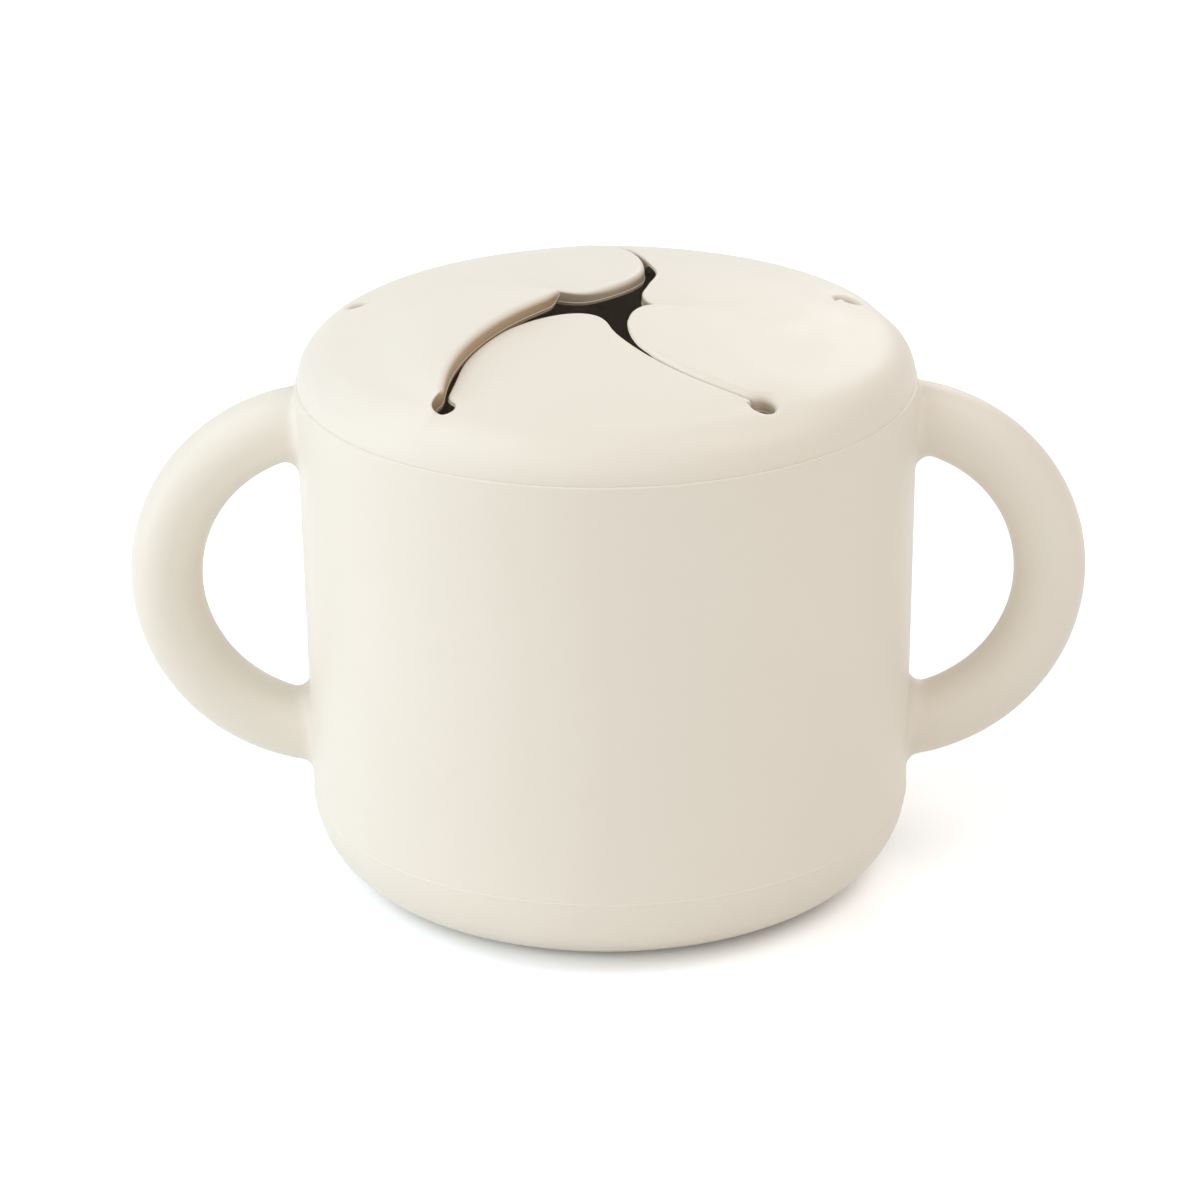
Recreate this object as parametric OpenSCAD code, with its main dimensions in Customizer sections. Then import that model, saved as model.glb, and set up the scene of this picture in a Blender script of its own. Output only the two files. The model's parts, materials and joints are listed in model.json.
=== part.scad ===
// Toddler snack container: a soft silicone cup with two ring handles, and a pull-off lid
// whose domed top is cut into five pinwheel flaps that a small hand pushes through.
// Millimetres. Z is up, the cup stands on z = 0 round the Z axis, and the handles lie along X.

/* [Cup] */
// Outside diameter of the cup at the shoulder that carries the lid
cup_top_d = 90; // [80:0.5:110]
// Draft angle by which the side wall draws in towards the table
cup_draft = 0.9; // [0:0.1:5]
// Height of the shoulder above the table
cup_h = 75.7; // [68:0.1:110]
// Thickness of the side wall
cup_wall = 2.6; // [2:0.1:3.2]
// Thickness of the floor inside the standing ring
floor_t = 3.2; // [2.5:0.1:5]
// Radius of the outside corner between the wall and the base
base_round = 12.8; // [7:0.1:18]
// Depth of the shallow recess under the base
foot_recess = 0.8; // [0.3:0.1:1.2]
// Width of the flat ring that the cup stands on
foot_ring_w = 6; // [3:0.5:12]

/* [Handles] */
// Thickness of the round handle bar
handle_d = 10.5; // [8:0.1:11.5]
// Diameter of the handle ring, measured along the middle of its bar
handle_ring_d = 49.4; // [42:0.2:52]
// Distance that the centre of each handle ring lies inside the cup's wall
handle_inset = 4.5; // [0:0.1:8]
// Gap left between the top of a handle and the shoulder of the cup
handle_drop = 0.4; // [0:0.1:6]

/* [Lid] */
// Radius of the lid's rounded outer edge
lid_round = 7.5; // [5.5:0.1:10]
// Height of the rounded edge's top above the shoulder
lid_rise = 6.8; // [5.5:0.1:9]
// Slope of the dome where it runs into the rounded edge, in degrees
dome_slope = 12; // [5:0.5:15]
// Thickness of the top at the outer end of the slits
top_root_t = 2.2; // [1.8:0.1:2.8]
// Thickness of the top in the middle of the lid
top_tip_t = 1.6; // [1.2:0.1:1.8]

/* [Lid plug] */
// Depth that the lid's plug reaches down into the cup
plug_depth = 8; // [6:0.5:12]
// Thickness of the plug's wall
plug_t = 1.4; // [1:0.1:1.5]
// Height of each sealing bead round the plug
bead_h = 0.4; // [0.2:0.05:0.5]
// Distance between the two sealing beads
bead_pitch = 3.2; // [1.4:0.1:4.4]
// Clearance between the sealing beads and the cup's wall
lid_clearance = 0.3; // [0.2:0.05:0.5]

/* [Flaps] */
// Width of the web left between the round ends of the slits and the inside of the plug
slit_margin = 0.07; // [0.05:0.01:2.5]
// Diameter of the round hole that ends each slit
end_hole_d = 3.2; // [2.6:0.1:3.2]
// Degrees that a slit turns for each millimetre that it runs inward
slit_turn = 0.98; // [0.6:0.02:1.3]
// Width of a slit over its inner part
slit_gap = 0.5; // [0.3:0.05:0.8]
// Width of a slit where it leaves its end hole
slit_gap_end = 1.6; // [1.2:0.1:2]
// Radius of the open star in the middle of the lid
star_r = 4.4; // [3.6:0.1:6]
// Length over which a flap's left side rounds into its nose, counted from the star
nose_left = 14; // [10:0.2:16]
// Length over which a flap's right side rounds into its nose, counted from the star
nose_right = 4.4; // [3:0.2:6]
// Length at the outer end of each slit over which it widens
slit_flare = 10.8; // [8:0.2:14]
// Angle that the left flap stands up at rest, in degrees
left_flap_lift = 5; // [0:0.5:8]
// Angle that the back left flap stands up at rest, in degrees
back_left_flap_lift = 1.5; // [0:0.5:8]
// Clearance round the rolled root of each flap
root_clearance = 0.3; // [0.2:0.05:0.5]

/* [Hidden] */
$fn = 96;

CREAM = [0.90, 0.87, 0.80];
PALE = [0.92, 0.91, 0.86];

FLAPS = 5;
SECTOR = 360 / FLAPS;
FRONT = -90;
// How far a cut runs past the surface, and how much rounder a flap's root is than its thickness
CUT = 1;
ROOT_ALLOWANCE = 0.05;
ARC_STEPS = 14;
BEAD_STEPS = 6;

// Radius of the cup's tapered outside at height z
function wall_r(z) = cup_top_d / 2 - (cup_h - z) * tan(cup_draft);
function polar(r, a) = [r * cos(a), r * sin(a)];
function arc(c, r, a0, a1, steps) = [for (i = [0:steps]) c + polar(r, a0 + (a1 - a0) * i / steps)];

// Cup section
inner_round = base_round - cup_wall;
foot_flat_r = wall_r(base_round) - base_round;
corner_c = [foot_flat_r, base_round];
inner_c = [foot_flat_r, floor_t + inner_round];

// Handle ring
handle_r = handle_d / 2;
handle_z = cup_h - handle_drop - handle_ring_d / 2 - handle_r;
handle_x = wall_r(handle_z) - handle_inset;

// Lid section: a round edge that runs tangent into a spherical dome
edge_c = [cup_top_d / 2 - lid_round, cup_h + lid_rise - lid_round];
edge_a0 = asin(max(0, (cup_h - edge_c[1]) / lid_round));
join_r = edge_c[0] + lid_round * sin(dome_slope);
dome_r = join_r / sin(dome_slope);
dome_c = edge_c[1] + lid_round * cos(dome_slope) - dome_r * cos(dome_slope);
function top_z(r) = r < join_r ? dome_c + sqrt(dome_r * dome_r - r * r)
    : edge_c[1] + sqrt(lid_round * lid_round - pow(r - edge_c[0], 2));

// Plug: its beads clear the cup's wall, which is narrowest at the plug's foot
plug_z = cup_h - plug_depth;
plug_r = wall_r(plug_z) - cup_wall - lid_clearance - bead_h;
plug_in_r = plug_r - plug_t;
bead_zs = [for (side = [1, -1]) plug_z + (plug_depth + side * bead_pitch) / 2];

// The round ends of the slits lie on a circle just inside the plug
hole_r = end_hole_d / 2;
slit_circle_r = plug_in_r - hole_r - slit_margin;

// The dome's underside is a rounder sphere, so the flaps thin towards their tips
under_rise = top_z(0) - top_tip_t - top_z(slit_circle_r) + top_root_t;
under_r = (slit_circle_r * slit_circle_r + under_rise * under_rise) / (2 * under_rise);
under_c = top_z(0) - top_tip_t - under_r;
function under_z(r) = under_c + sqrt(under_r * under_r - r * r);

// Hinge line of a flap: the chord between the centres of its two end holes
chord_r = slit_circle_r * cos(SECTOR / 2);
chord_half = slit_circle_r * sin(SECTOR / 2);
hinge_z = (top_z(slit_circle_r) + under_z(slit_circle_r) + top_z(chord_r) + under_z(chord_r)) / 4;
root_r = max(top_z(chord_r) - hinge_z, hinge_z - under_z(slit_circle_r)) + ROOT_ALLOWANCE;
root_half = chord_half - hole_r;
seat_r = root_r + root_clearance;

// Slits are spirals, and they widen outward over the last stretch, where a flap turns about its root
flare_r = slit_circle_r - slit_flare;
function gap_at(r) = slit_gap + (slit_gap_end - slit_gap) * max(0, (r - flare_r) / slit_flare);
function gap_angle(r) = gap_at(r) / 2 * sqrt(1 + pow(r * slit_turn * PI / 180, 2)) / r * 180 / PI;
function slit_angle(r) = -slit_turn * (slit_circle_r - r);
function slit_edge(r, hole_a, side) = polar(r, hole_a + slit_angle(r) + side * gap_angle(r));
function unit(v) = v / norm(v);
function bezier(p, q, u, v, t) = pow(1 - t, 3) * p + 3 * pow(1 - t, 2) * t * u
    + 3 * (1 - t) * t * t * v + pow(t, 3) * q;

// Outline of the flap whose root faces the direction 0, as one list of points down its left side
// from the root to the nose and one down its right side, seen from above
nose_r0 = star_r + nose_left;
nose_r1 = star_r + nose_right;
left_pull = 0.4;
right_pull = 1.9;
corner_steps = 3;
slit_steps = 9;
nose_steps = 13;
left_a = -SECTOR / 2;
right_a = SECTOR / 2;
outer_r = slit_circle_r - sqrt(hole_r * hole_r - slit_gap_end * slit_gap_end / 4);
nose_p = slit_edge(nose_r0, left_a, 1);
nose_q = slit_edge(nose_r1, right_a, -1);
nose_u = nose_p + unit(nose_p - slit_edge(nose_r0 + 1, left_a, 1)) * nose_left * left_pull;
nose_v = nose_q + unit(nose_q - slit_edge(nose_r1 + 1, right_a, -1)) * nose_right * right_pull;
nose = [for (i = [0:nose_steps]) bezier(nose_p, nose_q, nose_u, nose_v, i / nose_steps)];
function heading(v) = atan2(v[1], v[0]);
function slit_side(hole_a, side, r_end) =
    [for (i = [0:slit_steps - 1]) slit_edge(outer_r + (r_end - outer_r) * i / slit_steps, hole_a, side)];
function hole_corner(side, first) = let (
        c = [chord_r, -side * chord_half],
        a0 = side * 90,
        turn = heading(first - c) - a0,
        a1 = turn > 180 ? turn - 360 : turn < -180 ? turn + 360 : turn)
    arc(c, hole_r, a0, a0 + a1 * (1 - 1 / corner_steps), corner_steps - 1);
left_slit = slit_side(left_a, 1, nose_r0);
right_slit = slit_side(right_a, -1, nose_r1);
nose_half = (nose_steps + 1) / 2;
left_side = concat(hole_corner(1, left_slit[0]), left_slit, [for (i = [0:nose_half - 1]) nose[i]]);
right_side = concat(hole_corner(-1, right_slit[0]), right_slit,
                    [for (i = [0:nose_half - 1]) nose[nose_steps - i]]);

function hinge_angle(k) = FRONT + k * SECTOR;

// The cup's outer form without its inside, also used to trim the handles
module cup_outer() {
    rotate_extrude()
        polygon(concat([[0, 0]], arc(corner_c, base_round, -90, -cup_draft, ARC_STEPS),
                       [[cup_top_d / 2, cup_h], [0, cup_h]]));
}

module cup_inside() {
    inner_top_r = wall_r(cup_h) - cup_wall;
    rotate_extrude()
        polygon(concat([[0, floor_t]], arc(inner_c, inner_round, -90, -cup_draft, ARC_STEPS),
                       [[inner_top_r, cup_h], [inner_top_r, cup_h + CUT], [0, cup_h + CUT]]));
}

module cup() {
    color(CREAM)
        difference() {
            cup_outer();
            cup_inside();
            translate([0, 0, -CUT])
                cylinder(r = foot_flat_r - foot_ring_w, h = CUT + foot_recess);
        }
}

// One ring handle, cut off where it meets the cup's wall
module handle(side) {
    color(CREAM)
        difference() {
            translate([side * handle_x, 0, handle_z])
                rotate([90, 0, 0])
                    rotate_extrude()
                        translate([handle_ring_d / 2, 0])
                            circle(r = handle_r);
            cup_outer();
        }
}

// Lid without its slits: rounded rim on the shoulder, domed top and a beaded plug
module lid_blank() {
    rings = 8;
    outer = concat([for (i = [0:rings - 1]) let (r = join_r * i / rings) [r, top_z(r)]],
                   arc(edge_c, lid_round, 90 - dome_slope, edge_a0, ARC_STEPS),
                   [[edge_c[0] + lid_round * cos(edge_a0), cup_h]]);
    plug = concat([[plug_r, cup_h]],
                  [for (z = bead_zs) each arc([plug_r, z], bead_h, 90, -90, BEAD_STEPS)],
                  [[plug_r, plug_z], [plug_in_r, plug_z]]);
    under = [for (i = [rings:-1:0]) let (r = plug_in_r * i / rings) [r, under_z(r)]];
    rotate_extrude()
        polygon(concat(outer, plug, under));
}

// Bar along a flap's hinge line
module hinge_bar(r, half) {
    translate([chord_r, 0, hinge_z])
        rotate([90, 0, 0])
            cylinder(r = r, h = 2 * half, center = true);
}

module end_hole(a) {
    foot = under_z(plug_in_r) - CUT;
    rotate([0, 0, a])
        translate([slit_circle_r, 0, foot])
            cylinder(r = hole_r, h = top_z(0) + CUT - foot);
}

module lid_ring() {
    color(PALE)
        difference() {
            lid_blank();
            translate([0, 0, cup_h])
                linear_extrude(height = top_z(0) + CUT - cup_h)
                    polygon([for (k = [0:FLAPS - 1]) polar(slit_circle_r, hinge_angle(k) - SECTOR / 2)]);
            for (k = [0:FLAPS - 1]) {
                rotate([0, 0, hinge_angle(k)])
                    hinge_bar(seat_r, chord_half);
                end_hole(hinge_angle(k) + SECTOR / 2);
            }
        }
}

// One flap at the dome's own shape, as a closed skin: its rows run from side to side, over the top
// from the nose to the root, round the rolled root and back along the underside
module flap_blank() {
    across = 8;
    roll_rows = 6;
    sides = len(left_side);
    function between(i, j) = left_side[i] + (right_side[i] - left_side[i]) * j / across;
    function on_top(p) = [p[0], p[1], top_z(norm(p))];
    function on_underside(p) = [p[0], p[1], under_z(norm(p))];
    function roll(j, share) = let (
            p = between(0, j),
            h0 = top_z(norm(p)) - hinge_z,
            h1 = under_z(norm(p)) - hinge_z,
            h = h0 + (h1 - h0) * share)
        [chord_r + sqrt(root_r * root_r - h * h), p[1], hinge_z + h];
    over = [for (i = [sides - 1:-1:0]) [for (j = [0:across]) on_top(between(i, j))]];
    round_root = [for (i = [0:roll_rows - 1]) [for (j = [0:across]) roll(j, i / (roll_rows - 1))]];
    below = [for (i = [0:sides - 1]) [for (j = [0:across]) on_underside(between(i, j))]];
    rows = concat(over, round_root, below);
    last = len(rows) - 1;
    wide = across + 1;
    function quad(a, b, c, d) = [[a, b, c], [a, c, d]];
    skin = [for (i = [0:last]) let (n = (i + 1) % (last + 1)) for (j = [0:across - 1])
        each quad(i * wide + j, i * wide + j + 1, n * wide + j + 1, n * wide + j)];
    walls = [for (i = [0:len(rows) / 2 - 2]) for (j = [0, across]) let (
            a = i * wide + j,
            b = (i + 1) * wide + j,
            c = (last - i - 1) * wide + j,
            d = (last - i) * wide + j)
        each (j == 0 ? quad(a, b, c, d) : quad(d, c, b, a))];
    polyhedron(points = [for (row = rows) each row], faces = concat(skin, walls), convexity = 4);
}

module flap(k, lift) {
    color(PALE)
        rotate([0, 0, hinge_angle(k)])
            translate([chord_r, 0, hinge_z])
                rotate([0, lift, 0])
                    translate([-chord_r, 0, -hinge_z])
                        flap_blank();
}

cup();
handle(-1);  // left_handle
handle(1);  // right_handle
lid_ring();
flap(0, 0);  // front_flap
flap(1, 0);  // right_flap
flap(2, 0);  // back_right_flap
flap(3, back_left_flap_lift);  // back_left_flap
flap(4, left_flap_lift);  // left_flap
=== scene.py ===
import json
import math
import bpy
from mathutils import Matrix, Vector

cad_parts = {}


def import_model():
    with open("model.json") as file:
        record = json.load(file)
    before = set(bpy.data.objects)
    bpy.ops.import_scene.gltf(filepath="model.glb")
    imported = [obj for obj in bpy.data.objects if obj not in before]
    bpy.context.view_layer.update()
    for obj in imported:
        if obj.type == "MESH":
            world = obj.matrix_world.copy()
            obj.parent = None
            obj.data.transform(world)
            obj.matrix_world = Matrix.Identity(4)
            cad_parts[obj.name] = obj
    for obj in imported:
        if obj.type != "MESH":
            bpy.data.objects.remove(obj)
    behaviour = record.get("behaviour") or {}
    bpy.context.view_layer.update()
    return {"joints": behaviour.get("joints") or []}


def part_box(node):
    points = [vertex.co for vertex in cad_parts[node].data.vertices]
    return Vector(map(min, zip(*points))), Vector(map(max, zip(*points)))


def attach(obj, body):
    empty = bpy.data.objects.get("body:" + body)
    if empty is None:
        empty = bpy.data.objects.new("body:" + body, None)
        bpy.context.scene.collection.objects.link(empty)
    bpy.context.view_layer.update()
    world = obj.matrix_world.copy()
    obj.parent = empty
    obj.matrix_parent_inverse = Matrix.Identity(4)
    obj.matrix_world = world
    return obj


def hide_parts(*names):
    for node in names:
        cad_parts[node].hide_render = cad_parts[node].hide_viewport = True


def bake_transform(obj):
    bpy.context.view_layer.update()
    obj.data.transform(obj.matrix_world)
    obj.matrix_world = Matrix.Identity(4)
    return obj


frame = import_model()

# A toddler's snack container in soft silicone: a cup with two ring handles and a pull-off lid,
# whose dome is cut into five pinwheel flaps. Lengths are millimetres and angles degrees until
# Shell.build turns them into metres. Each flap meets the rest of the lid along its own hinge line.
from types import SimpleNamespace

import bmesh
import bpy
import numpy as np
from mathutils import Matrix, Vector

MM = 0.001

# Sizes read from the frame
cup_low, cup_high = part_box("cup")
bar_low, bar_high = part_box("right_handle")
CUP_R = round(cup_high.x / MM, 1)
CUP_H = round(cup_high.z / MM, 1)
BAR_R = round(bar_high.y / MM, 2)
RING_OUT = (bar_high.z - bar_low.z) / MM / 2
RING_R = RING_OUT - BAR_R
RING_X = bar_high.x / MM - RING_OUT
RING_Z = (bar_high.z + bar_low.z) / MM / 2
HINGES = [joint for joint in frame["joints"] if joint["type"] == "hinge"]
FLAPS = len(HINGES)
SECTOR = 360 / FLAPS
HALF = SECTOR / 2
FRONT = -90
CHORD_R = math.hypot(*HINGES[0]["pos_m"][:2]) / MM
SLIT_R = CHORD_R / math.cos(math.radians(HALF))
CHORD_HALF = SLIT_R * math.sin(math.radians(HALF))

# Cup
DRAFT = 0.9
WALL = 2.6
CUP_FLOOR = 3.2
BASE_ROUND = 12.8
FOOT_RING = 6
FOOT_RECESS = 0.8
RECESS_ROUND = 0.4
FOOT_EDGE = 0.25
SHOULDER_ROUND = 0.3
MOUTH_ROUND = 0.4
MOULD_LINE_Z = 12.0
MOULD_LINE = 0.07
# Rows over the mould line: the height from its middle, and the share of its height out of the wall
MOULD_LINE_ROWS = ((-0.3, 0), (-0.15, 0), (-0.05, 1), (0.05, 1), (0.15, 0), (0.3, 0))
FILLET = 2.0
TOP_FILLET = 0.4

# Lid
EDGE_ROUND = 7.5
EDGE_RISE = 6.8
DOME_SLOPE = 12
ROOT_T = 2.9
TIP_T = 1.7
PLUG_DEPTH = 8
PLUG_T = 1.4
PLUG_ROUND = 0.4
UNDERCUT = 0.3
BEAD_H = 0.4
BEAD_PITCH = 3.2
BEAD_FLAT = 0.25
LID_CLEARANCE = 0.3
SEAM = 0.004
LIP_ROUND = 0.02
LIP_INSET = 0.2

# Slits and flaps
HOLE_R = 1.6
SLIT_TURN = 0.98
SLIT_GAP = 0.16
SLIT_GAP_END = 0.34
SLIT_FLARE = 10.8
STAR_R = 4.4
NOSE_LEFT = 14
NOSE_RIGHT = 4.4
LEFT_PULL = 0.4
RIGHT_PULL = 1.9
LEFT_CORNER = 2.6
RIGHT_CORNER = 1.0
LOW_ROUND = 0.05
FLASH = 0.08
FLASH_WIDE = 0.1
FLASH_DEPTH = 0.8


def polar(radius, angle):
    return np.array([radius * math.cos(math.radians(angle)), radius * math.sin(math.radians(angle))])


def direction(way):
    return math.degrees(math.atan2(way[1], way[0]))


def unit(way):
    return way / np.linalg.norm(way)


def smooth(share):
    share = np.clip(share, 0, 1)
    return share * share * (3 - 2 * share)


def arc(centre, radius, start, end, steps):
    return [np.array(centre) + polar(radius, start + (end - start) * i / steps)
            for i in range(steps + 1)]


HALVINGS = 40


def last_true(near, far, holds):
    """The largest number from near to far for which holds is true, found by halving."""
    for _ in range(HALVINGS):
        middle = (near + far) / 2
        if holds(middle):
            near = middle
        else:
            far = middle
    return near


def hinge_angle(number):
    """Where a flap's hinge line lies. The flaps are numbered from the front one on to the right."""
    return FRONT + number * SECTOR


def turned(point, angle):
    cosine, sine = polar(1, angle)
    return np.array([point[0] * cosine - point[1] * sine, point[0] * sine + point[1] * cosine])


# The lid's section: a round edge that runs tangent into a dome, over a rounder underside
edge_r = CUP_R - EDGE_ROUND
edge_z = CUP_H + EDGE_RISE - EDGE_ROUND
join_r = edge_r + EDGE_ROUND * math.sin(math.radians(DOME_SLOPE))
dome_r = join_r / math.sin(math.radians(DOME_SLOPE))
dome_z = edge_z + (EDGE_ROUND - dome_r) * math.cos(math.radians(DOME_SLOPE))


def dome(radius):
    if radius < join_r:
        return dome_z + math.sqrt(dome_r ** 2 - radius ** 2)
    return edge_z + math.sqrt(max(0, EDGE_ROUND ** 2 - (radius - edge_r) ** 2))


def wall_r(z):
    return CUP_R - (CUP_H - z) * math.tan(math.radians(DRAFT))


plug_z = CUP_H - PLUG_DEPTH
plug_r = wall_r(plug_z) - WALL - LID_CLEARANCE - BEAD_H
plug_in_r = plug_r - PLUG_T

# How each soft flap stands at rest, as the hands that went through the lid have left it.
# right, left: height above the dome along its right slit and along its left slit
# tip: height that is added at its tip
# shift: how far its tip has moved in plan
# tip_t: thickness of its tip
# rounds: rounding of its upper edge along the left slit, over the nose and along the right slit
# spread: how many times wider than deep that rounding is
# tone: share of the painted cut shade that its cut faces take, smaller where they face the lamps
# The left flap has been pushed up along its front slit. The rim bulges with the flaps.
STANDS = {
    "front_flap": dict(right=0.35, left=0.35, tip=0.7, shift=(0, 0),
                       tip_t=1.7, rounds=(0.3, 0.3, 0.3), spread=1, tone=0.7),
    "right_flap": dict(right=0.8, left=0.7, tip=1.1, shift=(0.8, -0.2),
                       tip_t=1.7, rounds=(0.8, 0.6, 0.3), spread=1.6, tone=0.1),
    "back_right_flap": dict(right=0.5, left=0.1, tip=-1.6, shift=(2.2, 1.3),
                            tip_t=1.7, rounds=(0.3, 0.4, 0.4), spread=1, tone=0.8),
    "back_left_flap": dict(right=0.2, left=0.8, tip=0.2, shift=(-1.0, 0.35),
                           tip_t=1.95, rounds=(1.0, 1.0, 0.3), spread=1, tone=0.75),
    "left_flap": dict(right=3.0, left=0.8, tip=1.5, shift=(-1.7, -0.6),
                      tip_t=2.5, rounds=(0.3, 1.0, 1.0), spread=1, tone=1)}
# Rounding of the upper edge, and share of the painted cut shade on the wall, at the end hole on the
# right of each flap
HOLE_ROUNDS = (1.2, 1.3, 0.7, 1.2, 0.3)
HOLE_SHADE_TONES = (0.75, 0.8, 0.6, 0.2, 1)
# Where edges have been pushed aside: the pieces, the place in plan, how far, and the reach
DENTS = (
    (("front_flap", "right_flap", "rim"), (22.6, -31.1), (-1.0, 0.4), 4.5),
    (("right_flap", "back_right_flap", "rim"), (36.6, 11.9), (-1.6, 1.3), 4.5),
    (("back_left_flap", "left_flap", "rim"), (-36.6, 11.9), (0.5, 1.3), 4.5),
    (("front_flap",), (1.4, -9.7), (-0.5, -0.15), 6),
    (("front_flap",), (-21.7, -24.5), (0.45, 0), 4.5),
    (("right_flap",), (3.9, -15.0), (-0.1, -0.3), 4.5),
    (("back_right_flap",), (6.2, 16.0), (0.8, 0), 4.5))
# Where a flap is thin: the place in plan, its thickness there, and the reach
THINS = {
    "front_flap": ((-22.6, -31.1), 0.6, 2.2, 5),
    "right_flap": ((3.8, -13.5), 0.7, 5, 10),
    "back_right_flap": ((6.2, 16.0), 0.5, 5.5, 11),
    "left_flap": ((-5.3, 0.5), 1.3, 0.8, 3.5)}
# How a lift along a slit fades: at the slit's end, further from the slit, towards the flap's tip,
# across the slit, and past the hinge line
RISE_SPREAD = 3.4
FAR_SHIFT = 13
DROOP = 0.17
DROOP_LENGTH = 20
RIM_REACH = 1.2
CHORD_REACH = 3
stands = [SimpleNamespace(**STANDS[joint["child"]]) for joint in HINGES]


def thickness(point, number):
    """Thickness at a point in plan, on a flap or, with number None, on the rim."""
    tip_t = TIP_T if number is None else stands[number].tip_t
    full = tip_t + (ROOT_T - tip_t) * float(smooth(math.hypot(point[0], point[1]) / SLIT_R))
    if number is None or HINGES[number]["child"] not in THINS:
        return full
    place, thin_t, near, far = THINS[HINGES[number]["child"]]
    share = smooth((far - math.hypot(point[0] - place[0], point[1] - place[1])) / (far - near))
    return full - (full - thin_t) * float(share)


def wrapped(angle):
    return (angle + 180) % 360 - 180


def side_lift(point, hole_angle, way, own):
    """Share of its height that a flap has at a point in plan, for the slit whose end hole lies at
    hole_angle. The slit is on the flap's right with way 1, and on its left with way -1. The point
    is on the flap itself where own is true, and otherwise on the rim."""
    radius = max(1e-6, math.hypot(point[0], point[1]))
    slit_angle = hole_angle - SLIT_TURN * max(0, SLIT_R - radius)
    past = way * wrapped(slit_angle - direction(point))
    if abs(past) > 2 * SECTOR:
        return 0
    if own:
        past = max(0, past)
    across = math.radians(past) * radius
    share = max(0, past) / SECTOR
    rise = 0.5 + 0.5 * math.tanh((SLIT_R - FAR_SHIFT * share - radius) / RISE_SPREAD)
    rise *= 1 - DROOP * float(smooth((SLIT_R - radius) / DROOP_LENGTH))
    if own:
        inner = RIM_REACH * (1 + max(0, SLIT_R - radius))
    else:
        inner = RIM_REACH * max(0, SLIT_R - radius) * (past > 0)
    window = smooth((across + inner + RIM_REACH) / (2 * RIM_REACH))
    if past < 0:
        window *= smooth((radius - SLIT_R + RIM_REACH) / RIM_REACH)
    return float(window * (1 - smooth(share))) * rise


def inward(point, number):
    """How far in from a flap's hinge line a point in plan lies, with 1 over the lid's middle."""
    return max(0, 1 - float(np.dot(point, polar(1, hinge_angle(number)))) / CHORD_R)


def lift(point, number):
    """Height above the dome at a point in plan, on a flap or, with number None, on the rim."""
    if number is None:
        return sum(side_lifts(point, each, False) for each in range(FLAPS))
    own = side_lifts(point, number, True) + stands[number].tip * inward(point, number) ** 3
    share = float(smooth(inward(point, number) * CHORD_R / CHORD_REACH))
    return own if share == 1 else own * share + lift(point, None) * (1 - share)


def side_lifts(point, number, own):
    stand = stands[number]
    angle = hinge_angle(number)
    right = stand.right * side_lift(point, angle + HALF, 1, own)
    left = stand.left * side_lift(point, angle - HALF, -1, own)
    return right + left


def shifted(point, number):
    """Where a point in plan has gone, on a flap or, with number None, on the rim."""
    name = "rim" if number is None else HINGES[number]["child"]
    found = np.array(point[:2], dtype=float)
    if number is not None:
        found += np.array(stands[number].shift) * inward(point, number) ** 2
    for pieces, place, way, reach in DENTS:
        if name in pieces:
            far = math.hypot(point[0] - place[0], point[1] - place[1])
            found += np.array(way) * math.exp(-(far / reach) ** 2)
    return found


# The attribute of a mesh that holds its painted cut shade: how much shade its surface takes in a cut,
# from 0 to 1
CUT_SHADE = "cut"


class Shell:
    """A closed mesh in the making. Sheets of points are added to it and welded where they meet."""

    def __init__(self):
        self.points = []
        self.faces = []
        self.cut_shades = []

    def sheet(self, rows, closed=False, cut_shades=None):
        """Adds rows of points. The rows of cut_shades say how much painted shade the points take in a
        cut.
        """
        start = len(self.points)
        wide = len(rows[0])
        for i, row in enumerate(rows):
            self.points.extend(tuple(point) for point in row)
            self.cut_shades.extend(cut_shades[i] if cut_shades else [0] * wide)
        for i in range(len(rows) - 1):
            for j in range(wide if closed else wide - 1):
                here = start + i * wide + j
                beside = start + i * wide + (j + 1) % wide
                self.faces.append((here, beside, beside + wide, here + wide))

    def face(self, points, cut_shades=None):
        start = len(self.points)
        self.points.extend(tuple(point) for point in points)
        self.cut_shades.extend(cut_shades or [0] * len(points))
        self.faces.append(tuple(range(start, len(self.points))))

    def build(self, name, material, sharp=32):
        mesh = bpy.data.meshes.new(name)
        mesh.from_pydata([[length * MM for length in point] for point in self.points], [], self.faces)
        mesh.attributes.new(CUT_SHADE, "FLOAT", "POINT").data.foreach_set("value", self.cut_shades)
        bm = bmesh.new()
        bm.from_mesh(mesh)
        bmesh.ops.remove_doubles(bm, verts=bm.verts, dist=0.002 * MM)
        bmesh.ops.recalc_face_normals(bm, faces=bm.faces)
        bm.to_mesh(mesh)
        bm.free()
        mesh.shade_smooth()
        mesh.set_sharp_from_angle(angle=math.radians(sharp))
        mesh.materials.append(material)
        piece = bpy.data.objects.new(name, mesh)
        bpy.context.scene.collection.objects.link(piece)
        return piece


def revolve(section, steps):
    """Rows of points round the Z axis, one row for each point (r, z) of the section."""
    turns = [360 * i / steps for i in range(steps)]
    return [[(*polar(r, turn), z) for turn in turns] for r, z in section]


# Materials
COLOUR_A, COLOUR_B, COLOUR_OUT = 6, 7, 2


def noise(tree, scale, detail, rough):
    """Noise that stays in place on its piece."""
    place = tree.nodes.new("ShaderNodeTexCoord")
    node = tree.nodes.new("ShaderNodeTexNoise")
    node.inputs["Scale"].default_value = scale
    node.inputs["Detail"].default_value = detail
    node.inputs["Roughness"].default_value = rough
    tree.links.new(place.outputs["Object"], node.inputs["Vector"])
    return node.outputs["Fac"]


def colour_mix(tree, share, second):
    """A mix of two colours, whose second one is given."""
    node = tree.nodes.new("ShaderNodeMix")
    node.data_type = "RGBA"
    node.inputs[COLOUR_B].default_value = (*second, 1)
    tree.links.new(share, node.inputs[0])
    return node


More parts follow.
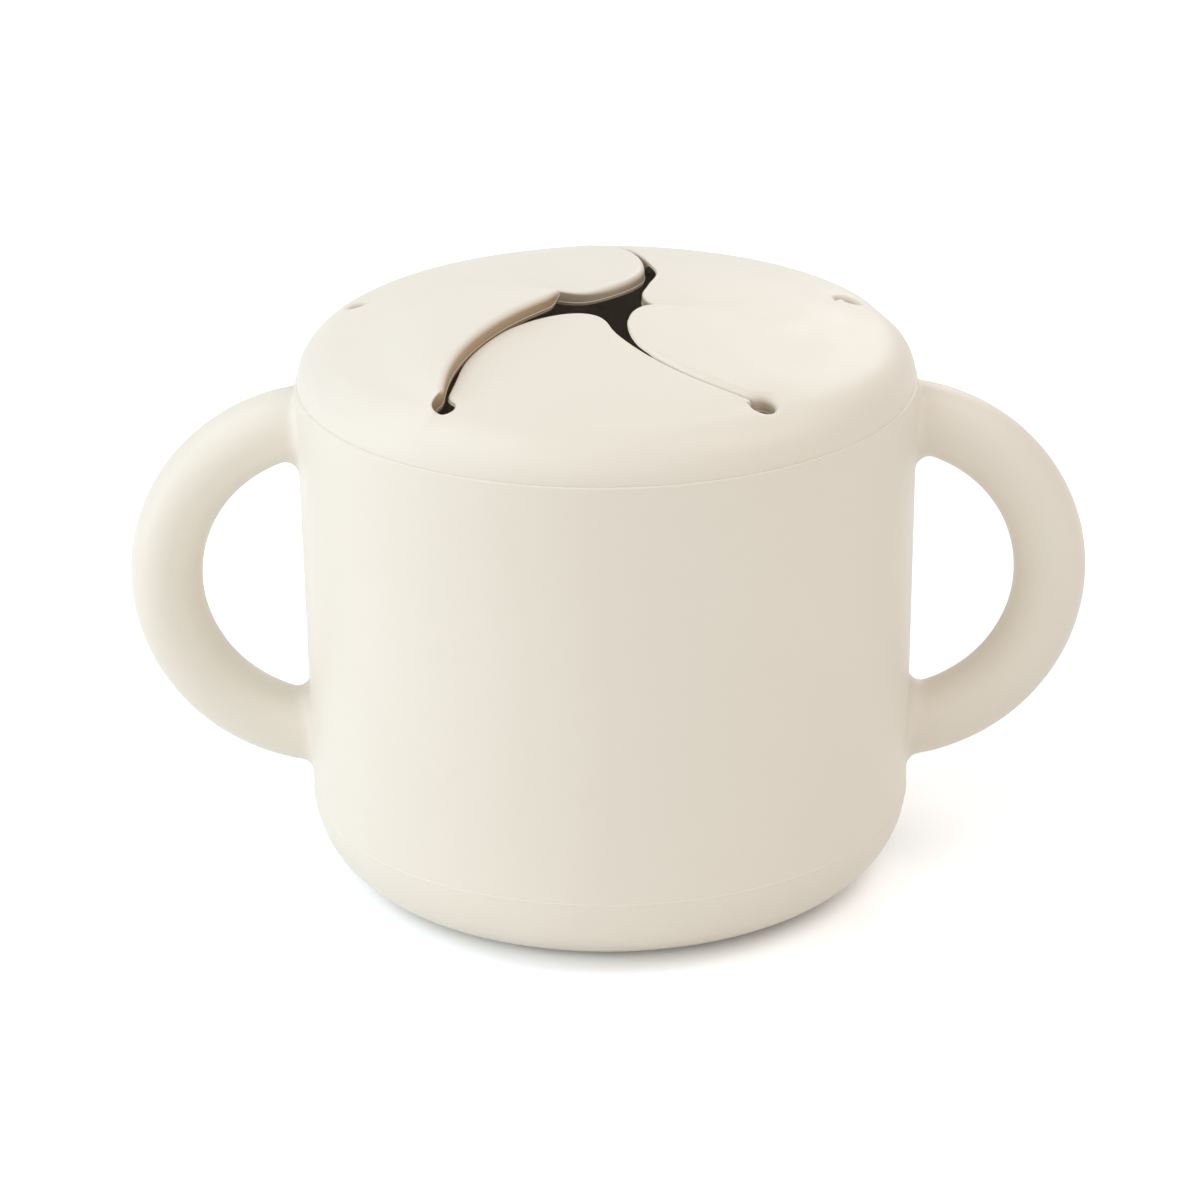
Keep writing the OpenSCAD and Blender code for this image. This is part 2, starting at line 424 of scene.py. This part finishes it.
def surface_colour(tree, main, shade, cut_shade_colour):
    """The main colour with soft clouds of the shade, and the cut shade colour deep in the cuts, as
    painted shade.
    """
    clouds = colour_mix(tree, noise(tree, 28, 3, 0.5), shade)
    clouds.inputs[COLOUR_A].default_value = (*main, 1)
    depth = tree.nodes.new("ShaderNodeAttribute")
    depth.attribute_name = CUT_SHADE
    deep = colour_mix(tree, depth.outputs["Fac"], cut_shade_colour)
    tree.links.new(clouds.outputs[COLOUR_OUT], deep.inputs[COLOUR_A])
    return deep.outputs[COLOUR_OUT]


def rubbed(tree, roughness):
    """The roughness, a little more or less where hands have rubbed."""
    node = tree.nodes.new("ShaderNodeMapRange")
    node.inputs["From Min"].default_value = 0.3
    node.inputs["From Max"].default_value = 0.7
    node.inputs["To Min"].default_value = roughness - 0.04
    node.inputs["To Max"].default_value = roughness + 0.04
    tree.links.new(noise(tree, 160, 4, 0.6), node.inputs["Value"])
    return node.outputs["Result"]


def bump(tree, height, strength, distance):
    node = tree.nodes.new("ShaderNodeBump")
    node.inputs["Strength"].default_value = strength
    node.inputs["Distance"].default_value = distance
    tree.links.new(height, node.inputs["Height"])
    return node


def silicone(name, main, shade, cut_shade_colour, roughness):
    """Soft silicone with a powdery grain over low waves."""
    material = bpy.data.materials.new(name)
    material.use_nodes = True
    tree = material.node_tree
    shader = tree.nodes["Principled BSDF"]
    shader.inputs["Specular IOR Level"].default_value = 0.35
    shader.inputs["Sheen Weight"].default_value = 0.12
    shader.inputs["Sheen Roughness"].default_value = 0.45
    tree.links.new(surface_colour(tree, main, shade, cut_shade_colour), shader.inputs["Base Color"])
    tree.links.new(rubbed(tree, roughness), shader.inputs["Roughness"])
    waves = bump(tree, noise(tree, 90, 1, 0.4), 0.25, 0.00008)
    grain = bump(tree, noise(tree, 1600, 2, 0.5), 0.12, 0.00003)
    tree.links.new(waves.outputs["Normal"], grain.inputs["Normal"])
    tree.links.new(grain.outputs["Normal"], shader.inputs["Normal"])
    return material


def linear(r, g, b):
    """A colour written as it shows on a screen, from 0 to 255, as linear light."""
    return tuple(((level / 255 + 0.055) / 1.055) ** 2.4 for level in (r, g, b))


CREAM = linear(235, 229, 217)
CREAM_SHADE = linear(232, 225, 212)
# Painted shade: the darker tan that the cut faces and hole walls take deep in the cuts, where shade
# falls
CUT_SHADE_TAN = linear(176, 153, 123)
cup_silicone = silicone("cup_silicone", CREAM, CREAM_SHADE, CUT_SHADE_TAN, 0.46)
lid_silicone = silicone("lid_silicone", CREAM, CREAM_SHADE, CUT_SHADE_TAN, 0.46)

# Cup
ROUND_STEPS = 192


def cup():
    """The cup's section, turned round: from the middle of its foot up the outside, and down the
    inside to the middle of its floor. Rows beside a rounding keep its shading off the flats."""
    foot_r = wall_r(BASE_ROUND) - BASE_ROUND
    inner_round = BASE_ROUND - WALL
    mouth_r = CUP_R - WALL
    recess_r = foot_r - FOOT_RING
    corner = (recess_r - RECESS_ROUND, FOOT_RECESS - RECESS_ROUND)
    section = [(0, FOOT_RECESS), (recess_r - 4, FOOT_RECESS), (recess_r - 0.6, FOOT_RECESS)]
    section += arc(corner, RECESS_ROUND, 90, 0, 4)
    section += arc((recess_r + FOOT_EDGE, FOOT_EDGE), FOOT_EDGE, 180, 270, 4)
    section += arc((foot_r, BASE_ROUND), BASE_ROUND, -90, -8, 26)
    line_r = wall_r(MOULD_LINE_Z)
    for dz, out in MOULD_LINE_ROWS:
        section.append((line_r + MOULD_LINE * out, MOULD_LINE_Z + dz))
    for z in np.linspace(BASE_ROUND + 1.2, CUP_H - SHOULDER_ROUND, 12):
        section.append((wall_r(z), z))
    section += arc((CUP_R - SHOULDER_ROUND, CUP_H - SHOULDER_ROUND), SHOULDER_ROUND, 15, 90, 5)
    section += [(mouth_r + 1.3, CUP_H)]
    section += arc((mouth_r + MOUTH_ROUND, CUP_H - MOUTH_ROUND), MOUTH_ROUND, 90, 180, 5)
    for z in np.linspace(CUP_H - 2, CUP_FLOOR + inner_round + 1, 10):
        section.append((wall_r(z) - WALL, z))
    section += arc((foot_r, CUP_FLOOR + inner_round), inner_round, -4, -90, 18)
    section += [(foot_r * 0.6, CUP_FLOOR), (foot_r * 0.3, CUP_FLOOR), (0, CUP_FLOOR)]
    shell = Shell()
    shell.sheet(revolve(section, ROUND_STEPS), closed=True)
    return shell.build("cup_body", cup_silicone)


# Handles: a bar bent to a ring, which flows into the cup's wall through a rolling-ball fillet
BAR_SIDES = 48
BAR_ROWS = 72
FILLET_ROWS = 7
PARTING = 0.03
PARTING_WIDE = 1.6
# By this angle round the ring the bar has met the cup's wall
RING_REACH = 110.0


def handle(side):
    lean = polar(1, DRAFT)

    def centre(along):
        """The middle of the bar at an angle round the ring."""
        x, z = polar(RING_R, along)
        return np.array([RING_X + x, 0, RING_Z + z])

    def out(along, around):
        """The way out of the bar, at the angle along round the ring and around round the bar."""
        ring_way = polar(1, along)
        bar_way = polar(1, around)
        return np.array([ring_way[0] * bar_way[0], bar_way[1], ring_way[1] * bar_way[0]])

    def wall_gap(point):
        return (math.hypot(point[0], point[1]) - wall_r(point[2])) * lean[0]

    def wall_normal(point):
        return unit(np.array([point[0], point[1], 0])) * lean[0] - np.array([0, 0, lean[1]])

    def fillet(around, sign):
        """Radius of the fillet at an angle round the bar, small under the cup's shoulder."""
        small = max(0, math.cos(math.radians(around))) ** 4 * (sign > 0)
        return FILLET - (FILLET - TOP_FILLET) * small

    def root(around, sign):
        """Angle round the ring where the fillet leaves the bar, above with sign 1, below with -1."""
        ball = fillet(around, sign)

        def clear(along):
            return wall_gap(centre(sign * along) + (BAR_R + ball) * out(sign * along, around)) > ball

        return sign * last_true(0.0, RING_REACH, clear)

    def line(around):
        """One line along the bar, from the wall below, round the ring, to the wall above."""
        ridge = PARTING if min(abs(around), abs(around - 180), abs(around - 360)) < 0.1 else 0
        ends = [root(around, -1), root(around, 1)]
        bar = [centre(along) + (BAR_R + ridge) * out(along, around)
               for along in np.linspace(*ends, BAR_ROWS)]
        flares = []
        for along in ends:
            bend = fillet(around, along)
            ball = centre(along) + (BAR_R + bend) * out(along, around)
            to_bar = -out(along, around)
            to_wall = -wall_normal(ball)
            turn = math.acos(max(-1, min(1, float(np.dot(to_bar, to_wall)))))
            flare = []
            for i in range(1, FILLET_ROWS + 1):
                share = i / FILLET_ROWS
                way = math.sin((1 - share) * turn) * to_bar + math.sin(share * turn) * to_wall
                flare.append(ball + bend * way / math.sin(turn))
            flares.append(flare)
        return flares[0][::-1] + bar + flares[1]

    turns = [360 * i / BAR_SIDES for i in range(BAR_SIDES)]
    turns += [ridge + beside for ridge in (0, 180) for beside in (-PARTING_WIDE, PARTING_WIDE)]
    lines = [line(turn % 360) for turn in sorted(turns)]
    if side < 0:
        lines = [[point * np.array([-1, 1, 1]) for point in row] for row in lines]
    shell = Shell()
    shell.sheet([list(ring) for ring in zip(*lines)], closed=True)
    for end in (0, -1):
        ring = [row[end] for row in lines]
        middle = sum(ring) / len(ring)
        inner = [middle + (point - middle) * 0.5 - np.array([side * 0.4, 0, 0]) for point in ring]
        shell.sheet([ring, inner], closed=True)
        shell.face(inner)
    name = "left_handle_ring" if side < 0 else "right_handle_ring"
    return shell.build(name, cup_silicone, sharp=60)


# Plan of one flap, with its root facing the direction 0
HOLE_STEPS = 6
CORNER_STEPS = 8
SLIT_STEPS = 36
NOSE_STEPS = 14
ACROSS = 22
# How far in from the slit's end the rounded corner between slit and end hole may lie
CORNER_FAR = 8
CORNER_NEAR = 0.2


def slit_edge(radius, side):
    gap = SLIT_GAP + (SLIT_GAP_END - SLIT_GAP) * max(0, (radius - SLIT_R + SLIT_FLARE) / SLIT_FLARE)
    spread = math.degrees(gap / 2 * math.hypot(1, math.radians(SLIT_TURN) * radius) / radius)
    return polar(radius, -side * HALF - SLIT_TURN * (SLIT_R - radius) + side * spread)


def slit_normal(radius, side):
    along = unit(slit_edge(radius - 0.01, side) - slit_edge(radius + 0.01, side))
    return side * np.array([along[1], -along[0]])


def bezier(start, first_pull, second_pull, end, share):
    rest = 1 - share
    return (rest ** 3 * start + 3 * rest ** 2 * share * first_pull
            + 3 * rest * share * share * second_pull + share ** 3 * end)


def nose_curve():
    """The flap's nose, from its left slit to its right one."""
    left_r, right_r = STAR_R + NOSE_LEFT, STAR_R + NOSE_RIGHT
    start, end = slit_edge(left_r, 1), slit_edge(right_r, -1)
    first_pull = start + unit(start - slit_edge(left_r + 1, 1)) * NOSE_LEFT * LEFT_PULL
    second_pull = end + unit(end - slit_edge(right_r + 1, -1)) * NOSE_RIGHT * RIGHT_PULL
    shares = [i / (2 * NOSE_STEPS) for i in range(2 * NOSE_STEPS + 1)]
    return [bezier(start, first_pull, second_pull, end, share) for share in shares]


def flap_side(side):
    """Points down one side of the flap from its root to its tip, and the ways into it from them."""
    hole = np.array([CHORD_R, -side * CHORD_HALF])
    bend = LEFT_CORNER if side > 0 else RIGHT_CORNER

    def corner_at(radius):
        return slit_edge(radius, side) + slit_normal(radius, side) * bend

    def clear(radius):
        return np.linalg.norm(corner_at(radius) - hole) > HOLE_R + bend

    radius = last_true(SLIT_R - CORNER_FAR, SLIT_R - CORNER_NEAR, clear)
    corner = corner_at(radius)
    hole_start = side * 90
    hole_end = hole_start + wrapped(direction(corner - hole) - hole_start)
    points = arc(hole, HOLE_R, hole_start, hole_end, HOLE_STEPS)
    normals = [unit(point - hole) for point in points]
    bend_start = hole_end + 180
    bend_end = bend_start + wrapped(direction(-slit_normal(radius, side)) - bend_start)
    round_off = arc(corner, bend, bend_start, bend_end, CORNER_STEPS)[1:]
    points += round_off
    normals += [unit(corner - point) for point in round_off]
    end = STAR_R + (NOSE_LEFT if side > 0 else NOSE_RIGHT)
    for i in range(1, SLIT_STEPS):
        slit_radius = radius + (end - radius) * i / SLIT_STEPS
        points.append(slit_edge(slit_radius, side))
        normals.append(slit_normal(slit_radius, side))
    nose = nose_curve() if side > 0 else nose_curve()[::-1]
    for i in range(NOSE_STEPS + 1):
        along = unit(nose[i + 1] - nose[max(0, i - 1)])
        points.append(nose[i])
        normals.append(side * np.array([along[1], -along[0]]))
    return points, normals


def largest_round(thick):
    """The largest rounding of its upper edge that a cut face has room for above the flash."""
    return thick * FLASH_DEPTH - 1.5 * FLASH_WIDE


def edge_section(thick, top_round, spread):
    """The section over a cut edge: way in from the edge, and depth below the top. The mould has left
    a thin line of flash low on it."""
    line = thick * FLASH_DEPTH
    top_round = min(top_round, largest_round(thick))
    rounds = [(top_round * spread * (1 - math.sin(angle)), top_round * (1 - math.cos(angle)))
              for angle in np.radians([0, 15, 30, 45, 60, 75, 90])]
    wall = [(0, (top_round + line - FLASH_WIDE) / 2), (0, line - FLASH_WIDE)]
    flash = [(-FLASH, line - FLASH_WIDE / 3), (-FLASH, line + FLASH_WIDE / 3)]
    low = [(0, line + FLASH_WIDE), (0, thick - LOW_ROUND), (LOW_ROUND, thick)]
    return rounds + wall + flash + low


# How much painted shade the points of edge_section take, from the top to the underside: it deepens
# down the cut face, and the flash takes less, a lighter line painted where it catches light
EDGE_CUT_SHADES = (0, 0.02, 0.06, 0.16, 0.36, 0.7, 1, 1, 1, 0.35, 0.35, 1, 1, 1)


def edge_points(point, way, number, top_round, spread=1):
    """Points over the cut edge at a point in plan, from the top to the underside, with the way from
    there into the piece. The piece is a flap or, with number None, the rim."""
    thick = thickness(point, number)
    found = []
    for inset, depth in edge_section(thick, top_round, spread):
        place = point + way * inset
        share = depth / thick
        z = dome(math.hypot(*place)) - depth + share * (thick - thickness(place, number))
        found.append((*shifted(place, number), z + lift(place, number)))
    return found


def top_point(point, number):
    return (*shifted(point, number), dome(math.hypot(*point)) + lift(point, number))


def low_point(point, number):
    z = dome(math.hypot(*point)) - thickness(point, number) + lift(point, number)
    return (*shifted(point, number), z)


def across_shares():
    """Shares of the way across a flap, closer together near its edges."""
    return [(1 - math.cos(math.pi * i / ACROSS)) / 2 for i in range(ACROSS + 1)]


def between(start, end):
    return [start + (end - start) * share for share in across_shares()]


def flap_edge(number, side):
    """One side of a flap, from its root to its tip: places in plan, ways into the flap from them,
    the rounding of the upper edge and its spread. Beside it, how much painted shade the edge's
    points take in the cut."""
    stand = stands[number]
    turn = hinge_angle(number)
    hole = number - 1 if side > 0 else number
    side_round = stand.rounds[0 if side > 0 else 2]
    chain, cut_shades = [], []
    points, normals = flap_side(side)
    for i, (point, normal) in enumerate(zip(points, normals)):
        share = float(smooth(i / (HOLE_STEPS + CORNER_STEPS)))
        nose = float(smooth(1 - (len(points) - 1 - i) / NOSE_STEPS))
        top_round = HOLE_ROUNDS[hole] + (side_round - HOLE_ROUNDS[hole]) * share
        top_round += (stand.rounds[1] - side_round) * nose
        # Painted shade on the cut face, from the end hole's share to the flap's own
        tone = HOLE_SHADE_TONES[hole] + (stand.tone - HOLE_SHADE_TONES[hole]) * share
        spread = 1 + (stand.spread - 1) * share
        chain.append((turned(point, turn), turned(normal, turn), top_round, spread))
        cut_shades.append([depth * tone for depth in EDGE_CUT_SHADES])
    return chain, cut_shades


def flap(number, name):
    shell = Shell()
    chains, roots = [], []
    for side in (1, -1):
        chain, cut_shades = flap_edge(number, side)
        rows = []
        for point, way, top_round, spread in chain:
            rows.append(edge_points(point, way, number, top_round, spread))
        shell.sheet(rows, cut_shades=cut_shades)
        chains.append(chain)
        roots.append(rows[0])
    tops, lows = [], []
    for ends in zip(*chains):
        inner, under = [], []
        for point, way, top_round, spread in ends:
            room = largest_round(thickness(point, number))
            inner.append(point + way * min(top_round, room) * spread)
            under.append(point + way * LOW_ROUND)
        tops.append([top_point(place, number) for place in between(*inner)])
        lows.append([low_point(place, number) for place in between(*under)])
    shell.sheet(tops)
    shell.sheet(lows)
    close_chord(shell, number, tops[0], lows[0], *roots)
    return shell.build(name, lid_silicone)


# Painted shade on the wall of an end hole
def hole_cut_shades(hole):
    return [depth * HOLE_SHADE_TONES[hole] for depth in EDGE_CUT_SHADES]


def close_chord(shell, number, tops, lows, left, right):
    """The face along a flap's hinge line, which the rim and the flap share."""
    shell.sheet([tops, lows])
    shell.face(left, hole_cut_shades(number - 1))
    shell.face(right, hole_cut_shades(number))


# The rim and the rest of the lid, outside the hinge lines
COLLAR_STEPS = 14
RIM_STEPS = 18
HOLE_MARGIN = 0.1


def collar(offset, end_r):
    """Points round an end hole from the hinge line outwards, as distance from the lid's centre and
    angle, and a last one beyond it at the distance end_r."""
    hole = np.array([CHORD_R, -CHORD_HALF])
    points = arc(hole, HOLE_R + offset, 90, -HALF, COLLAR_STEPS)
    points.append(polar(end_r, -HALF))
    return [(math.hypot(*point), direction(point)) for point in points]


def rim_rows(left, right, end_r):
    """Rows of one sector from its hinge line out to the radius end_r, with left and right as the
    distance that they keep from the edges of its two end holes."""
    rows = []
    for i, ends in enumerate(zip(collar(left, end_r), collar(right, end_r))):
        (left_r, left_angle), (right_r, right_angle) = ends
        span = left_angle + right_angle
        straight = between(polar(left_r, left_angle), polar(right_r, -right_angle))
        curved = [polar(left_r + (right_r - left_r) * share, left_angle - span * share)
                  for share in across_shares()]
        bow = smooth(i / COLLAR_STEPS)
        rows.append(list(np.array(straight) * (1 - bow) + np.array(curved) * bow))
    return rows


def rim_section(start_r):
    """The lid's section from the radius start_r out over its edge, round the plug and up inside."""
    start_angle = math.degrees(math.acos((start_r - edge_r) / EDGE_ROUND))
    lip_z = CUP_H + SEAM
    lip_angle = math.degrees(math.asin((lip_z + LIP_ROUND - edge_z) / EDGE_ROUND))
    rim = arc((edge_r, edge_z), EDGE_ROUND, start_angle, lip_angle, RIM_STEPS)
    rim = [(r - LIP_INSET * (i / RIM_STEPS) ** 3, z) for i, (r, z) in enumerate(rim)]
    lip_r = rim[-1][0] - LIP_ROUND
    rim += arc((lip_r, lip_z + LIP_ROUND), LIP_ROUND, -15, -90, 4)
    rim += [(plug_r + 4 * UNDERCUT, lip_z), (plug_r + UNDERCUT, lip_z), (plug_r, lip_z - UNDERCUT)]
    for way in (1, -1):
        z = plug_z + (PLUG_DEPTH + way * BEAD_PITCH) / 2
        rim += [(plug_r, z + BEAD_H + BEAD_FLAT)]
        rim += arc((plug_r, z), BEAD_H, 75, -75, 8)
        rim += [(plug_r, z - BEAD_H - BEAD_FLAT)]
    rim += arc((plug_r - PLUG_ROUND, plug_z + PLUG_ROUND), PLUG_ROUND, 0, -90, 4)
    rim += arc((plug_in_r + PLUG_ROUND, plug_z + PLUG_ROUND), PLUG_ROUND, 270, 180, 4)
    rim += [(plug_in_r, plug_z + 3)]
    rim += [(plug_in_r, dome(plug_in_r) - thickness((plug_in_r, 0), None))]
    return rim


def hole_wall(shell, number):
    """The rim's part of the wall of the end hole on the right of a flap."""
    turn = hinge_angle(number)
    hole = turned(np.array([CHORD_R, CHORD_HALF]), turn)
    span = 90 + HALF
    ways = [polar(1, turn + HALF + span * (i / COLLAR_STEPS - 1))
            for i in range(2 * COLLAR_STEPS + 1)]
    rows = [edge_points(hole + way * HOLE_R, way, None, HOLE_ROUNDS[number]) for way in ways]
    shell.sheet(rows, cut_shades=[hole_cut_shades(number)] * len(ways))


def rim_sector(shell, number, rim, start_r):
    """The rim outside a flap, with the section rim from the radius start_r on. Its outer edge and its
    underside move with the soft top, and the seam and the plug stay round."""
    turn = hinge_angle(number)
    rounds = (HOLE_ROUNDS[number - 1], HOLE_ROUNDS[number])
    tops = [[turned(point, turn) for point in row] for row in rim_rows(*rounds, start_r)]
    lows = [[turned(point, turn) for point in row]
            for row in rim_rows(LOW_ROUND, LOW_ROUND, plug_in_r)]
    top_rows = [[top_point(point, None) for point in row] for row in tops]
    low_rows = [[low_point(point, None) for point in row] for row in lows]
    shell.sheet(top_rows)
    shell.sheet(low_rows)
    ways = [unit(point) for point in tops[-1]]
    rows = []
    for i, (r, z) in enumerate(rim):
        if i <= RIM_STEPS or i == len(rim) - 1:
            rows.append([(*shifted(way * r, None), z + lift(way * r, None)) for way in ways])
        else:
            rows.append([(*(way * r), z) for way in ways])
    shell.sheet(rows)
    hole_wall(shell, number)
    along = turned(np.array([0, 1]), turn)
    ends = []
    for side, top_round in zip((-1, 1), rounds):
        hole = turned(np.array([CHORD_R, side * CHORD_HALF]), turn)
        ends.append(edge_points(hole - side * along * HOLE_R, -side * along, None, top_round))
    close_chord(shell, number, top_rows[0], low_rows[0], *ends)


def lid_rim():
    shell = Shell()
    start_r = SLIT_R + HOLE_R + max(HOLE_ROUNDS) + HOLE_MARGIN
    rim = rim_section(start_r)
    for number in range(FLAPS):
        rim_sector(shell, number, rim, start_r)
    return shell.build("lid_rim", lid_silicone)


# The pieces and what they ride on
body = cup()
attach(body, "cup")
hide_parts("cup")
for side, node in ((-1, "left_handle"), (1, "right_handle")):
    piece = handle(side)
    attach(piece, "cup")
    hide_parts(node)
rim = lid_rim()
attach(rim, "lid")
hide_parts("lid_ring")
for number, joint in enumerate(HINGES):
    node = joint["child"]
    piece = flap(number, node + "_skin")
    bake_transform(piece)
    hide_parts(node)

# Camera, from the photograph's viewing angle
VIEW_TILT = 22.317
VIEW_ROLL = -0.531
VIEW_DISTANCE = 793.615
VIEW_TARGET = (0, 0, 40)
FRAME_PIXELS = 1200
FOCAL_PIXELS = 5396.473
TARGET_PIXEL = (608.54, 604.66)
SENSOR = 36


def camera():
    tilt, roll = math.radians(VIEW_TILT), math.radians(VIEW_ROLL)
    back = Vector((0, -math.cos(tilt), math.sin(tilt)))
    up = Vector((0, math.sin(tilt), math.cos(tilt)))
    side = Vector((1, 0, 0))
    right = side * math.cos(roll) + up * math.sin(roll)
    top = up * math.cos(roll) - side * math.sin(roll)
    place = Vector(VIEW_TARGET) + back * VIEW_DISTANCE
    off = [(pixel - FRAME_PIXELS / 2) * VIEW_DISTANCE / FOCAL_PIXELS for pixel in TARGET_PIXEL]
    aim = Vector(VIEW_TARGET) - right * off[0] + top * off[1]
    back = (place - aim).normalized()
    right = top.cross(back).normalized()
    top = back.cross(right)
    data = bpy.data.cameras.new("camera")
    data.sensor_width = SENSOR
    data.lens = FOCAL_PIXELS * SENSOR / FRAME_PIXELS
    data.clip_start = 0.05
    data.clip_end = 20
    made = bpy.data.objects.new("camera", data)
    bpy.context.scene.collection.objects.link(made)
    facing = Matrix((right, top, back)).transposed().to_4x4()
    made.matrix_world = Matrix.Translation(place * MM) @ facing
    bpy.context.scene.camera = made


# Light and floor. Each lamp has a name, a place in metres, a power, a size and a tint.
LAMPS = (
    ("left_low", (-1.1, -0.1, 0.22), 2.55, 0.42, (0.855, 0.915, 1)),
    ("left_front", (-0.65, -0.75, 0.55), 2.05, 0.7, (0.92, 0.97, 1)),
    ("left_top", (-0.7, 0.0, 0.85), 3.8, 0.7, (0.79, 0.925, 1)),
    ("front", (0.0, -1.0, 0.45), 1.42, 0.7, (1, 0.945, 0.905)),
    ("right_top", (0.62, -0.12, 0.88), 3.3, 0.6, (1, 0.905, 0.84)),
    ("back", (0.35, 1.0, 0.55), 1.95, 0.4, (0.96, 0.99, 1)))


LAMP_TARGET = Vector((0, 0, 0.045))


def lamp(name, place, power, size, colour):
    data = bpy.data.lights.new(name, "AREA")
    data.energy = power
    data.size = size
    data.color = colour
    made = bpy.data.objects.new(name, data)
    bpy.context.scene.collection.objects.link(made)
    made.location = place
    aim = LAMP_TARGET - made.location
    made.rotation_mode = "QUATERNION"
    made.rotation_quaternion = aim.to_track_quat("-Z", "Y")
    made.visible_camera = False


# The rays that see the background as white
WHITE_KINDS = ("Is Camera Ray", "Is Glossy Ray", "Is Transmission Ray")


def white_for_the_camera(tree, shader, white):
    """Mixes shader with white, which is what the camera and the rays of WHITE_KINDS see."""
    rays = tree.nodes.new("ShaderNodeLightPath")
    seen = rays.outputs[WHITE_KINDS[0]]
    for kind in WHITE_KINDS[1:]:
        add = tree.nodes.new("ShaderNodeMath")
        add.operation = "MAXIMUM"
        tree.links.new(seen, add.inputs[0])
        tree.links.new(rays.outputs[kind], add.inputs[1])
        seen = add.outputs[0]
    mix = tree.nodes.new("ShaderNodeMixShader")
    tree.links.new(seen, mix.inputs[0])
    tree.links.new(shader, mix.inputs[1])
    tree.links.new(white, mix.inputs[2])
    return mix.outputs[0]


AMBIENT = 0.405
AMBIENT_TINT = (1, 0.965, 0.935)


def world():
    made = bpy.data.worlds.new("studio")
    bpy.context.scene.world = made
    made.use_nodes = True
    tree = made.node_tree
    soft = tree.nodes["Background"]
    soft.inputs["Color"].default_value = (*AMBIENT_TINT, 1)
    soft.inputs["Strength"].default_value = AMBIENT
    white = tree.nodes.new("ShaderNodeBackground")
    white.inputs["Color"].default_value = (1, 1, 1, 1)
    white.inputs["Strength"].default_value = 1
    out = white_for_the_camera(tree, soft.outputs[0], white.outputs[0])
    tree.links.new(out, tree.nodes["World Output"].inputs["Surface"])


# The floor's side in metres, how far it lies below the foot, and its colours, as a surface that
# lights the object and as the camera sees it
FLOOR_SIZE = 1.2
FLOOR_DROP = 0.05
FLOOR_COLOUR = (0.9, 0.89, 0.87)
FLOOR_WHITE = (1.3, 1.355, 1.41)


def floor():
    """A plain floor. The camera sees it brighter than it lights the object, so that it's white up to
    the object's shadow, and a little cooler, as the lamps that reach the shadow are warm. It lies
    below the object's foot, so that the two don't coincide."""
    material = bpy.data.materials.new("floor")
    material.use_nodes = True
    tree = material.node_tree
    tree.nodes.remove(tree.nodes["Principled BSDF"])
    matte = tree.nodes.new("ShaderNodeBsdfDiffuse")
    matte.inputs["Color"].default_value = (*FLOOR_COLOUR, 1)
    bright = tree.nodes.new("ShaderNodeBsdfDiffuse")
    bright.inputs["Color"].default_value = (*FLOOR_WHITE, 1)
    out = white_for_the_camera(tree, matte.outputs[0], bright.outputs[0])
    tree.links.new(out, tree.nodes["Material Output"].inputs["Surface"])
    mesh = bpy.data.meshes.new("floor")
    half = FLOOR_SIZE / 2
    z = -FLOOR_DROP * MM
    corners = [(-half, -half, z), (half, -half, z), (half, half, z), (-half, half, z)]
    mesh.from_pydata(corners, [], [(0, 1, 2, 3)])
    mesh.materials.append(material)
    made = bpy.data.objects.new("floor", mesh)
    bpy.context.scene.collection.objects.link(made)


camera()
world()
floor()
for settings in LAMPS:
    lamp(*settings)
bpy.context.scene.view_settings.view_transform = "Standard"
